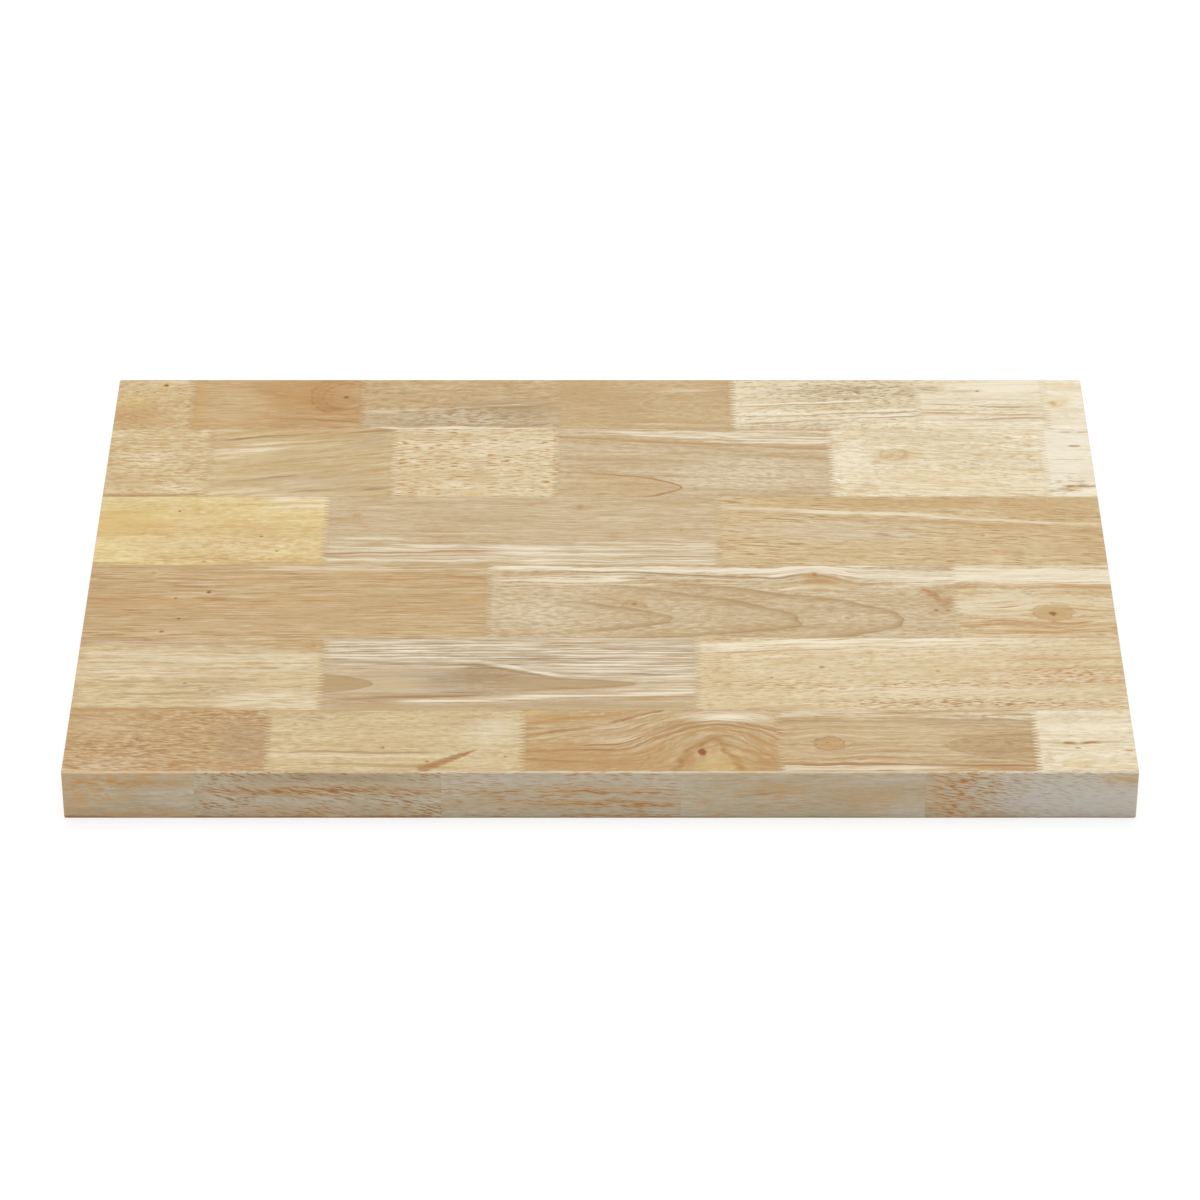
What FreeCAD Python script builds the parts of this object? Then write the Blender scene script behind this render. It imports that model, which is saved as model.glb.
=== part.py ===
"""Butcher block countertop, edge-glued from rows of finger-jointed rubberwood blocks.

Millimetres. X runs along the length, Y from the front edge to the back edge, Z up.
The origin is at the centre of the underside. Staves are numbered from the back, and
the blocks of a stave from its left end.
"""

import FreeCAD, Part
import os

# Overall size of the finished top
LENGTH = 914.4
DEPTH = 635.0
THICKNESS = 47.6

# Outer edges: the upright corners, and the arrises round the top and the underside
CORNER_RADIUS = 2.0
ARRIS_RADIUS = 1.0

# Widths of the staves, which are the rows of blocks from back to front. The top is ripped to
# its depth after gluing, so the back and front staves are narrower than the others. The front
# strip takes its width from the front stave.
STAVE_WIDTHS = [88.5, 116.2, 113.3, 114.5, 110.5, 92.0]
FRONT_STRIP_WIDTH = 3.0

# Finger joint on the block ends: a zigzag in plan that runs through the full thickness
FINGER_PITCH = 4.45
FINGER_LENGTH = 8.0
NARROWEST_SLIVER = 0.25

# Block lengths along each row from the left end to the right end of the top. On a top of
# another length or depth, every block or stave is cut larger or smaller in proportion.
STAVE_BLOCK_LENGTHS = [
    [72.0, 160.5, 185.5, 164.0, 175.0, 121.0, 36.4],
    [95.0, 170.0, 152.0, 254.0, 199.0, 44.4],
    [208.0, 357.0, 349.4],
    [357.5, 415.5, 141.4],
    [215.0, 327.0, 372.4],
    [172.5, 219.0, 219.5, 219.0, 84.4],
]
FRONT_STRIP_BLOCK_LENGTHS = [111.0, 210.0, 203.5, 208.5, 181.4]

# How far the cutting outlines run past the outside of the top
CUTTING_MARGIN = 10.0

LEFT_END = -LENGTH / 2
RIGHT_END = LENGTH / 2
BACK_EDGE = DEPTH / 2
FRONT_EDGE = -DEPTH / 2


def is_upright(edge):
    """Whether an edge of the board runs through its thickness."""
    return edge.BoundBox.ZLength > THICKNESS / 2


def glued_board():
    """The whole top as one board, with its corners and arrises rounded."""
    board = Part.makeBox(LENGTH, DEPTH, THICKNESS, FreeCAD.Vector(LEFT_END, FRONT_EDGE, 0))
    board = board.makeFillet(CORNER_RADIUS, [edge for edge in board.Edges if is_upright(edge)])
    return board.makeFillet(ARRIS_RADIUS, [edge for edge in board.Edges if not is_upright(edge)])


def dividing_places(parts, whole):
    """Distances from the start at which the parts meet, cut in proportion to fill the whole."""
    fit = whole / sum(parts)
    return [sum(parts[:count]) * fit for count in range(1, len(parts))]


def stave_sides():
    """The front and back side of each stave, from the back edge to the front strip."""
    strip_back = FRONT_EDGE + FRONT_STRIP_WIDTH
    glue_lines = [BACK_EDGE - distance for distance in dividing_places(STAVE_WIDTHS, DEPTH)]
    return list(zip(glue_lines + [strip_back], [BACK_EDGE] + glue_lines))


def finger_reach(across):
    """How far the glue line lies right of its joint, at a distance from the stave's back side."""
    turns = across / FINGER_PITCH
    to_nearest_tip = abs(turns - round(turns))
    return FINGER_LENGTH * (2 * to_nearest_tip - 0.5)


def finger_joint(joint, front, back):
    """Points of the glue line between two blocks: each finger tip and both sides of the stave.

    The last finger is stretched where it would leave a sliver at the stave's front side.
    """
    width = back - front
    flank = FINGER_PITCH / 2
    flank_count = int((width - NARROWEST_SLIVER) / flank)
    places = [number * flank for number in range(flank_count + 1)] + [width]
    return [(joint + finger_reach(across), back - across) for across in places]


def block_lines(front, back, block_lengths):
    """The lines that a stave is divided by: its left end, its joints and its right end."""
    cut_front = front - CUTTING_MARGIN if front <= FRONT_EDGE else front
    cut_back = back + CUTTING_MARGIN if back >= BACK_EDGE else back
    lines = [[(LEFT_END - CUTTING_MARGIN, cut_back), (LEFT_END - CUTTING_MARGIN, cut_front)]]
    for distance in dividing_places(block_lengths, LENGTH):
        line = finger_joint(LEFT_END + distance, front, back)
        if cut_back > back:
            line = [(line[0][0], cut_back)] + line
        if cut_front < front:
            line = line + [(line[-1][0], cut_front)]
        lines.append(line)
    lines.append([(RIGHT_END + CUTTING_MARGIN, cut_back), (RIGHT_END + CUTTING_MARGIN, cut_front)])
    return lines


def upright_prism(left_line, right_line):
    """A prism through the thickness, between the two lines at a block's ends."""
    outline = left_line + right_line[::-1]
    corners = [FreeCAD.Vector(x, y, -CUTTING_MARGIN) for x, y in outline + outline[:1]]
    face = Part.Face(Part.makePolygon(corners))
    return face.extrude(FreeCAD.Vector(0, 0, THICKNESS + 2 * CUTTING_MARGIN))


def row_of_blocks(board, name, front, back, block_lengths):
    """The blocks of one row by name, cut out of the board from left to right."""
    lines = block_lines(front, back, block_lengths)
    return {
        f"{name}_block_{number}": board.common(upright_prism(left_line, right_line)).Solids[0]
        for number, (left_line, right_line) in enumerate(zip(lines, lines[1:]), start=1)
    }


def countertop():
    """Every block of the top by name, from the back row to the front strip."""
    board = glued_board()
    blocks = {}
    for number, (front, back) in enumerate(stave_sides(), start=1):
        block_lengths = STAVE_BLOCK_LENGTHS[number - 1]
        blocks.update(row_of_blocks(board, f"stave_{number}", front, back, block_lengths))
    strip_back = FRONT_EDGE + FRONT_STRIP_WIDTH
    blocks.update(
        row_of_blocks(board, "front_strip", FRONT_EDGE, strip_back, FRONT_STRIP_BLOCK_LENGTHS)
    )
    return blocks


def main():
    os.makedirs("parts", exist_ok=True)
    for name, solid in countertop().items():
        solid.exportStep(f"parts/{name}.step")


main()
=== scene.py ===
"""Looks of the butcher block countertop: the wood of every block, the studio and the camera.

Marks in the wood are placed in plan millimetres, read as with a tape measure: x from the left
end of the top, y from its back edge, and depth down from the surface that shows.
"""

import math
from dataclasses import KW_ONLY, dataclass, field

import bpy
from bpy.props import FloatProperty, FloatVectorProperty, PointerProperty, StringProperty
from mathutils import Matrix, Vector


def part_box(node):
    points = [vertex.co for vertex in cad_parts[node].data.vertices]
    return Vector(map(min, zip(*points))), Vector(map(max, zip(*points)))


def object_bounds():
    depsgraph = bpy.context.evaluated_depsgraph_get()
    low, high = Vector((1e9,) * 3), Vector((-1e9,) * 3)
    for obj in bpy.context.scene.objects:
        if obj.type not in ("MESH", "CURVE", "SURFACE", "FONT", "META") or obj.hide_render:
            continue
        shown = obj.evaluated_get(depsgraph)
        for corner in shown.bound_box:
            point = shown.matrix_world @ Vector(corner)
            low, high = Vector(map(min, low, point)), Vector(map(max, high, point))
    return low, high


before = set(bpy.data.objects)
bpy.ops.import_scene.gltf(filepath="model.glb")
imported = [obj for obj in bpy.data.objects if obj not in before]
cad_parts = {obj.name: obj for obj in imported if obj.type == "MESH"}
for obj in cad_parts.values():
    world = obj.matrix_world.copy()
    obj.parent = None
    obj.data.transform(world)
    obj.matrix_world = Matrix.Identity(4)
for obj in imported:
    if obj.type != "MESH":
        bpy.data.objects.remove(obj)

bl_info = {
    "name": "Butcher block countertop",
    "version": (1, 0, 0),
    "blender": (4, 5, 0),
    "location": "View3D > Sidebar > Countertop",
    "description": "Finishes a finger-jointed butcher block countertop and lights it",
    "category": "Object",
}

MM_PER_M = 1000.0
TOP_LOW, TOP_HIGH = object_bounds()
STAVES = ["stave_1", "stave_2", "stave_3", "stave_4", "stave_5", "stave_6"]
FRONT_STRIP = "front_strip"

# Ground tones of rubberwood as sRGB, from its darkest boards to its sapwood
TONES = {
    "honey": "#c29f6f",
    "tan": "#c6aa7e",
    "beige": "#cbb48f",
    "straw": "#d2ba8d",
    "yellow": "#dcc38c",
    "cream": "#dbc7a0",
    "pale": "#e6d7b6",
    "ivory": "#eee2c9",
    "sand": "#d4c6ab",
}

# Tones of the marks in the wood as sRGB
MARK_TONES = {
    "sapwood": "#f3e8cf",
    "white": "#f2e9d4",
    "pearl": "#dcd5ca",
    "straw": "#d2ba8d",
    "gold": "#d8b76b",
    "amber": "#dba964",
    "ochre": "#c48a49",
    "toffee": "#c5a470",
    "umber": "#b19263",
    "brown": "#9c7b4e",
    "orange": "#b98a4e",
    "rust": "#b37c42",
    "bark": "#a87a47",
    "core": "#91572f",
    "smoke": "#a48f70",
    "ash": "#9b8b70",
}

# Distances from a line at which it is whole and gone, in line widths
LINE_CORE, LINE_EDGE = 0.2, 0.8

# Seeds of neighbouring blocks are this far apart, and move the grain by so much along each axis
SEED_STEP = 37.0
SEED_MOVES = (1, 3, 7)

# The wander of the grain: the size of its waves along and across the grain in mm, their detail,
# and how many times further it goes along the grain than across
WANDER_LENGTH, WANDER_WIDTH = 45.0, 16.0
WANDER_DETAIL = 3.0
WANDER_STRETCH = 3

# The layers of noise that make the grain: the detail of each, and its contrast at a strength of 1
LAYER_DETAIL = {"streaks": 3.0, "wisps": 3.0, "dashes": 2.0, "clouds": 2.0, "vessels": 1.0}
LAYER_CONTRAST = {"streaks": 1.9, "wisps": 1.9, "dashes": 0.8, "clouds": 1.2, "vessels": 0.0}
CLOUD_LENGTH, CLOUD_WIDTH = 80.0, 24.0

# Levels of noise between which a dash or a ring goes from dark to light
DARK_LEVEL, LIGHT_LEVEL = 0.35, 0.65

# The dark side of the grain as shares of the ground's red, green and blue
DARK_SHARES = (0.79, 0.66, 0.48)

# How far the clouds gather the vessels in groups, the levels of noise between which a vessel and
# a line of soft tissue appear, and the strength of the soft tissue as a share of the vessels'
VESSEL_GROUPING = 0.4
VESSEL_LEVELS = (0.57, 0.66)
TISSUE_LEVELS = (0.32, 0.42)
TISSUE_SHARE = 0.4

# End grain: the pith lies two thicknesses over the top, a pore is whole and gone at these shares
# of the pore spacing, and the ends show where the surface faces along the grain by these shares
PITH_DEPTH = -2.0
RING_DETAIL = 2.0
PORE_WHOLE, PORE_GONE = 0.12, 0.3
PORE_STRENGTH = 0.7
FACING_NONE, FACING_WHOLE = 0.6, 0.9

# The studio: the soft light's place, tilt and spread, the picture's width in mm, the shades of the
# white board as light falls on it and as it is seen, and how strongly it glows
KEY_PLACE = (0, 0.5, 3)
KEY_TILT = math.radians(-15)
KEY_SPREAD = math.radians(40)
PICTURE_WIDTH = 36.0
BOARD_SHADE, SEEN_SHADE = 0.85, 0.28
BOARD_GLOW = 0.77
WHITE = (1.0, 1.0, 1.0, 1.0)

SMOOTH = {"interpolation_type": "SMOOTHSTEP"}
COLOUR = {"data_type": "RGBA"}


def linear_colour(hex_colour):
    """A linear colour with full alpha from an sRGB hex value such as #c4a579."""
    parts = [int(hex_colour[place:place + 2], 16) / 255 for place in (1, 3, 5)]
    linear = [part / 12.92 if part <= 0.04045 else ((part + 0.055) / 1.055) ** 2.4 for part in parts]
    return (*linear, 1.0)


def add(tree, kind, inputs=(), output=0, **settings):
    """Add a node with its settings, set or link its inputs, and return one of its outputs."""
    node = tree.nodes.new(f"ShaderNode{kind}")
    for name, value in settings.items():
        setattr(node, name, value)
    pairs = inputs.items() if isinstance(inputs, dict) else enumerate(inputs)
    for key, value in pairs:
        if isinstance(value, bpy.types.NodeSocket):
            tree.links.new(value, node.inputs[key])
        else:
            node.inputs[key].default_value = value
    return node.outputs[output]


@dataclass
class Grain:
    """Sockets with which the marks of a block are drawn: places in plan mm, and noises."""
    steady_x: bpy.types.NodeSocket
    steady_y: bpy.types.NodeSocket
    x: bpy.types.NodeSocket
    y: bpy.types.NodeSocket
    bent_y: bpy.types.NodeSocket
    noises: dict = field(default_factory=dict)


def line_mask(tree, offset, core, edge, level=1.0):
    """A mask along a line: at its level up to the core's distance from it, and gone at the edge."""
    away = add(tree, "Math", (offset,), operation="ABSOLUTE")
    return add(tree, "MapRange", (away, core, edge, level, 0.0), **SMOOTH)


def span_mask(tree, along, rise, fall):
    """A mask that rises over one stretch of a line and falls over another."""
    head = add(tree, "MapRange", (along, *rise), **SMOOTH)
    tail = add(tree, "MapRange", (along, *fall, 1.0, 0.0), **SMOOTH)
    return add(tree, "Math", (head, tail), operation="MULTIPLY")


def frayed(tree, distance, grain, amount):
    """The distance from an outline, moved to both sides of it by the dashes in the grain."""
    moved = add(tree, "Math", (grain.noises["dashes"], amount, distance), operation="MULTIPLY_ADD")
    return add(tree, "Math", (moved, amount / 2), operation="SUBTRACT")


@dataclass
class Mark:
    """A mark in the wood: its tone, its strength, and how far a noise of the grain breaks it up.

    The gaps are the noise level below which it breaks up: the higher, the sparser the mark.
    """
    tone: str
    strength: float
    _: KW_ONLY
    broken: float = 0.5
    by: str = "streaks"
    gaps: float = 0.40

    # How far over the gaps' level the noise has to be where the mark is whole
    GAP_EDGE = 0.16

    def broken_up(self, tree, mask, grain, strength=None):
        """A mask at the mark's strength, with gaps where the grain's noise is low."""
        levels = (self.gaps, self.gaps + self.GAP_EDGE, 1.0 - self.broken, 1.0)
        texture = add(tree, "MapRange", (grain.noises[self.by], *levels))
        level = self.strength if strength is None else strength
        part = add(tree, "Math", (mask, level), operation="MULTIPLY")
        return add(tree, "Math", (part, texture), operation="MULTIPLY")


@dataclass
class Band(Mark):
    """A streak along the grain, from one end to the other, drifting towards the front; on the front strip,
    also a line of painted shade.
    """
    start: float
    end: float
    y: float
    width: float
    slope: float = 0.0
    ragged: float = 1.0

    # How far a ragged side is torn, in widths, and the longest that an end fades over, in mm
    TEAR = 6.0
    LONGEST_FADE = 25.0

    def layers(self, tree, grain):
        fall = self.y - self.slope * self.start
        line = add(tree, "Math", (grain.x, self.slope, fall), operation="MULTIPLY_ADD")
        offset = add(tree, "Math", (grain.bent_y, line), operation="SUBTRACT")
        away = add(tree, "Math", (offset,), operation="ABSOLUTE")
        tear = self.TEAR * self.ragged * self.width
        torn = add(tree, "Math", (grain.noises["streaks"], -tear, tear / 2), operation="MULTIPLY_ADD")
        away = add(tree, "Math", (away, torn), operation="ADD")
        edges = (LINE_CORE * self.width, LINE_EDGE * self.width, 1.0, 0.0)
        side = add(tree, "MapRange", (away, *edges), **SMOOTH)
        fade = min(self.LONGEST_FADE, (self.end - self.start) / 3)
        rise = (self.start - fade / 2, self.start + fade)
        ends = span_mask(tree, grain.x, rise, (self.end - fade, self.end + fade / 2))
        mask = add(tree, "Math", (side, ends), operation="MULTIPLY")
        return [(self.broken_up(tree, mask, grain), self.tone)]


@dataclass
class Stripes(Band):
    """A band of even light streaks side by side, where the saw ran level with the growth layers."""
    pitch: float = 4.8

    # How far the streaks waver, in pitches, and the heights of the wave that are dark and light
    WAVER = 3
    DARK, LIGHT = -0.5, 0.6

    def layers(self, tree, grain):
        mask, tone = super().layers(tree, grain)[0]
        shift = (grain.noises["streaks"], self.WAVER * self.pitch, grain.bent_y)
        place = add(tree, "Math", shift, operation="MULTIPLY_ADD")
        turns = add(tree, "Math", (place, math.tau / self.pitch), operation="MULTIPLY")
        wave = add(tree, "Math", (turns,), operation="SINE")
        wave = add(tree, "MapRange", (wave, self.DARK, self.LIGHT), **SMOOTH)
        return [(add(tree, "Math", (mask, wave), operation="MULTIPLY"), tone)]


@dataclass
class Oval:
    """A place about a centre, so long and so far across."""
    x: float
    y: float
    long: float
    across: float

    def radius(self, tree, x, y):
        """Distance from the centre, 1 on the edge of the oval."""
        ends = (self.x, self.x + self.long / 2, 0.0, 1.0)
        sides = (self.y, self.y + self.across / 2, 0.0, 1.0)
        along = add(tree, "MapRange", (x, *ends), clamp=False)
        across = add(tree, "MapRange", (y, *sides), clamp=False)
        both = add(tree, "CombineXYZ", (along, across))
        return add(tree, "VectorMath", (both,), "Value", operation="LENGTH")

    def mean_radius(self):
        """The mean of half the length and half the width, in mm."""
        return (self.long + self.across) / 4


@dataclass
class Swell(Oval):
    """A place where the grain bows towards the back by its rise, with no colour of its own."""
    rise: float

    def bend(self, tree, grain, y):
        radius = self.radius(tree, grain.x, grain.y)
        near = add(tree, "MapRange", (radius, 0.0, 1.0, self.rise, 0.0), **SMOOTH)
        return add(tree, "Math", (y, near), operation="ADD")

    def layers(self, tree, grain):
        return []


@dataclass
class Patch(Oval, Mark):
    """A soft oval of another tone."""

    # Radii at which the patch is whole and gone
    WHOLE, GONE = 0.1, 1.3

    def layers(self, tree, grain):
        radius = self.radius(tree, grain.x, grain.y)
        mask = add(tree, "MapRange", (radius, self.WHOLE, self.GONE, 1.0, 0.0), **SMOOTH)
        return [(self.broken_up(tree, mask, grain), self.tone)]


@dataclass(kw_only=True)
class Flecks(Patch):
    """A patch of short flecks."""
    broken: float = 1.0
    by: str = "dashes"


@dataclass(kw_only=True)
class Wisps(Patch):
    """A patch of wisps, longer than flecks."""
    broken: float = 1.0
    by: str = "wisps"


@dataclass(kw_only=True)
class Vessels(Patch):
    """A patch where more of the vessels show."""
    broken: float = 1.0
    by: str = "vessels"


@dataclass
class Ring(Oval, Mark):
    """A thin line round a knot, where a growth layer that bent round it comes to the surface."""
    line: float = 2.0

    # How far the line strays, in line widths and in mm that every line has
    STRAY_WIDTHS = 1.6
    STRAY = 4.8

    def layers(self, tree, grain):
        radius = self.radius(tree, grain.steady_x, grain.steady_y)
        away = add(tree, "Math", (radius, 1.0), operation="SUBTRACT")
        away = add(tree, "Math", (away, self.mean_radius()), operation="MULTIPLY")
        away = frayed(tree, away, grain, self.STRAY_WIDTHS * self.line + self.STRAY)
        mask = line_mask(tree, away, LINE_CORE * self.line, LINE_EDGE * self.line)
        return [(self.broken_up(tree, mask, grain), self.tone)]


@dataclass
class Scar(Oval, Mark):
    """A slit across the grain, pointed at its far end, turned by its heading from the right."""
    heading: float

    # Half the width at the far end and how far the sides fray, in widths of the slit
    TIP = 0.1
    FRAY = 0.4

    # Shares of the half width that are whole and gone, and how long the two ends fade over, in mm
    WHOLE, GONE = 0.6, 1.2
    HEAD, TAIL = 4.0, 12.0

    def layers(self, tree, grain):
        middle = (self.x, self.y, 0.0)
        place = add(tree, "CombineXYZ", (grain.steady_x, grain.steady_y))
        turn = {"Vector": place, "Center": middle, "Angle": math.radians(-self.heading)}
        place = add(tree, "VectorRotate", turn, rotation_type="Z_AXIS")
        along, aside = add(tree, "SeparateXYZ", (place,)).node.outputs[:2]
        start, end = self.x - self.long / 2, self.x + self.long / 2
        width = add(tree, "MapRange", (along, start, end, self.across / 2, self.TIP * self.across))
        aside = add(tree, "Math", (aside, self.y), operation="SUBTRACT")
        aside = frayed(tree, aside, grain, self.FRAY * self.across)
        aside = add(tree, "Math", (aside,), operation="ABSOLUTE")
        outside = add(tree, "Math", (aside, width), operation="DIVIDE")
        side = add(tree, "MapRange", (outside, self.WHOLE, self.GONE, 1.0, 0.0), **SMOOTH)
        ends = span_mask(tree, along, (start, start + self.HEAD), (end - self.TAIL, end))
        mask = add(tree, "Math", (side, ends), operation="MULTIPLY")
        return [(self.broken_up(tree, mask, grain), self.tone)]


@dataclass
class Tongue(Mark):
    """The tip of a growth layer that runs out at the surface.

    It points along its heading: 0 degrees is right and 90 is to the back. The side on its left
    hand widens as the square root of the curve times the distance, and so does the other.
    """
    x: float
    y: float
    left_curve: float
    right_curve: float
    fill: float = 0.2
    rim: float = 0.5
    reach: float = 80.0
    heading: float = 0.0
    line: float = 2.0
    line_tone: str = "brown"

    # Share of its reach over which the tongue is whole
    WHOLE_REACH = 0.3

    # Distances inside the outline, in mm: where the tongue is whole, and where its shade fades
    WHOLE = 1.5
    SHADE_START, SHADE_END = 0.5, 12.0

    # How far inside the outline its line runs, and the line's core and edge, in line widths
    INSET = 1 / 3
    CORE, EDGE = 0.1, 0.9

    def layers(self, tree, grain):
        place = add(tree, "CombineXYZ", (grain.x, grain.y))
        offset = add(tree, "VectorMath", (place, (self.x, self.y, 0.0)), operation="SUBTRACT")
        turn = math.radians(self.heading)
        backwards = (-math.cos(turn), math.sin(turn), 0.0)
        sideways = (-math.sin(turn), -math.cos(turn), 0.0)
        behind = add(tree, "VectorMath", (offset, backwards), "Value", operation="DOT_PRODUCT")
        aside = add(tree, "VectorMath", (offset, sideways), "Value", operation="DOT_PRODUCT")
        squared = add(tree, "Math", (aside, aside), operation="MULTIPLY")
        sides = (-1.0, 1.0, -1.0 / self.right_curve, -1.0 / self.left_curve)
        sharpness = add(tree, "MapRange", (aside, *sides))
        fall = add(tree, "Math", (squared, sharpness, behind), operation="MULTIPLY_ADD")

        # The outline is a parabola, twice as sharp in slope as in height. Its slope turns the
        # fall, along the heading, into a distance square to the outline.
        tilt = add(tree, "Math", (aside, sharpness), operation="MULTIPLY")
        tilt = add(tree, "Math", (tilt, tilt), operation="MULTIPLY")
        tilt = add(tree, "Math", (tilt, 2.0 ** 2, 1.0), operation="MULTIPLY_ADD")
        steepness = add(tree, "Math", (tilt,), operation="SQRT")
        inward = add(tree, "Math", (fall, steepness), operation="DIVIDE")

        whole = self.WHOLE_REACH * self.reach
        far = add(tree, "MapRange", (behind, whole, self.reach, 1.0, 0.0), **SMOOTH)
        inside = add(tree, "MapRange", (inward, 0.0, self.WHOLE), **SMOOTH)
        inside = add(tree, "Math", (inside, far), operation="MULTIPLY")
        fade = (self.SHADE_START, self.SHADE_END, 1.0, self.fill)
        shade = add(tree, "MapRange", (inward, *fade), **SMOOTH)
        body = add(tree, "Math", (inside, shade), operation="MULTIPLY")
        away = add(tree, "Math", (inward, self.INSET * self.line), operation="SUBTRACT")
        line = line_mask(tree, away, self.CORE * self.line, self.EDGE * self.line)
        line = add(tree, "Math", (line, far), operation="MULTIPLY")
        return [
            (self.broken_up(tree, body, grain), self.tone),
            (self.broken_up(tree, line, grain, self.rim), self.line_tone),
        ]


@dataclass
class Knot(Oval, Mark):
    """A knot: a disc of its own wood that the grain bows round.

    It can have a dark core, with a share of its radius, and a line round it of the rim's strength.
    """
    core: float = 0.0
    rim: float = 0.0
    rim_tone: str = "brown"
    bow: float = 1.0

    # Radii between which the grain bows less and less, and how far it bows at the inner one
    BOW_START, BOW_END = 0.3, 3.0
    BOW_SHARE = 0.8

    # How far the outline frays, and the radii at which the disc is whole and gone
    FRAY = 0.8
    WHOLE, WHOLE_IN_RIM, GONE = 0.4, 0.7, 1.2

    # The radius of the line round the disc, and the width over which it fades, in mm
    RIM_RADIUS = 0.95
    RIM_WIDTH = 1.25

    # The core's strength, and the shares of its radius where it is whole and gone
    CORE_STRENGTH = 0.9
    CORE_WHOLE, CORE_GONE = 0.5, 1.3

    def bend(self, tree, grain, y):
        radius = self.radius(tree, grain.steady_x, grain.steady_y)
        pull = (self.BOW_START, self.BOW_END, -self.BOW_SHARE * self.bow, 0.0)
        near = add(tree, "MapRange", (radius, *pull), **SMOOTH)
        aside = add(tree, "Math", (grain.steady_y, self.y), operation="SUBTRACT")
        return add(tree, "Math", (aside, near, y), operation="MULTIPLY_ADD")

    def layers(self, tree, grain):
        radius = self.radius(tree, grain.steady_x, grain.steady_y)
        radius = frayed(tree, radius, grain, self.FRAY)
        whole = self.WHOLE_IN_RIM if self.rim else self.WHOLE
        disc = add(tree, "MapRange", (radius, whole, self.GONE, 1.0, 0.0), **SMOOTH)
        layers = [(self.broken_up(tree, disc, grain), self.tone)]
        if self.rim:
            ring = add(tree, "Math", (radius, self.RIM_RADIUS), operation="SUBTRACT")
            ring = line_mask(tree, ring, 0.0, self.RIM_WIDTH / self.mean_radius())
            layers.append((self.broken_up(tree, ring, grain, self.rim), self.rim_tone))
        if self.core:
            edges = (self.CORE_WHOLE * self.core, self.CORE_GONE * self.core, self.CORE_STRENGTH, 0.0)
            layers.append((add(tree, "MapRange", (radius, *edges), **SMOOTH), "core"))
        return layers


@dataclass
class Wood:
    """How the wood of one block grew: its tone, how its grain runs and how strongly it shows."""
    tone: str
    slope: float = 0.0
    streaks: float = 0.4
    wisps: float = 0.5
    dashes: float = 0.2
    vessels: float = 0.4
    vessel_tone: str = "umber"
    vessel_length: float = 9.0
    vessel_width: float = 1.7
    fineness: float = 1.0
    curl: float = 1.0
    clouds: float = 0.5
    marks: tuple = ()
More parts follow.
